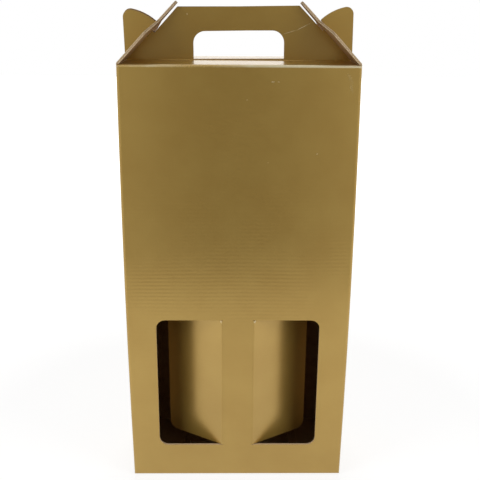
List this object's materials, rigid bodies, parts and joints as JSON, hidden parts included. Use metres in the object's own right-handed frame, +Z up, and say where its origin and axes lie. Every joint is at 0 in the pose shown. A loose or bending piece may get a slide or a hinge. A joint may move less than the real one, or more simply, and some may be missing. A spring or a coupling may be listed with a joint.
{
  "type": "two-bottle carry carton",
  "caption": "Folded carry carton for bottles side by side, with a gable handle locked by side flaps and front windows whose cut-outs fold in as dividers.",
  "frame": {"origin": "under the middle of the carton, on the surface it stands on", "axes": "+Z up from the bottom to the handle, -Y towards the side with the windows, +X to the right of someone who looks at the windows"},
  "size_m": [0.1838, 0.09, 0.3981],
  "materials": {
    "gold_board": "satin"
  },
  "bodies": {
    "carton": {"carton": "gold_board"},
    "left_divider": {"left_divider_flap": "gold_board"},
    "right_divider": {"right_divider_flap": "gold_board"}
  },
  "joints": [
    {"name": "left_divider_crease", "type": "hinge", "parent": "carton", "child": "left_divider", "pos_m": [-0.013, -0.0432, 0.0896], "axis": [0, 0, -1], "range_deg": [-31.5, 68.5], "stiffness_Nm_per_rad": 0.004},
    {"name": "right_divider_crease", "type": "hinge", "parent": "carton", "child": "right_divider", "pos_m": [0.013, -0.0432, 0.0896], "axis": [0, 0, 1], "range_deg": [-31.5, 68.5], "stiffness_Nm_per_rad": 0.004}
  ]
}
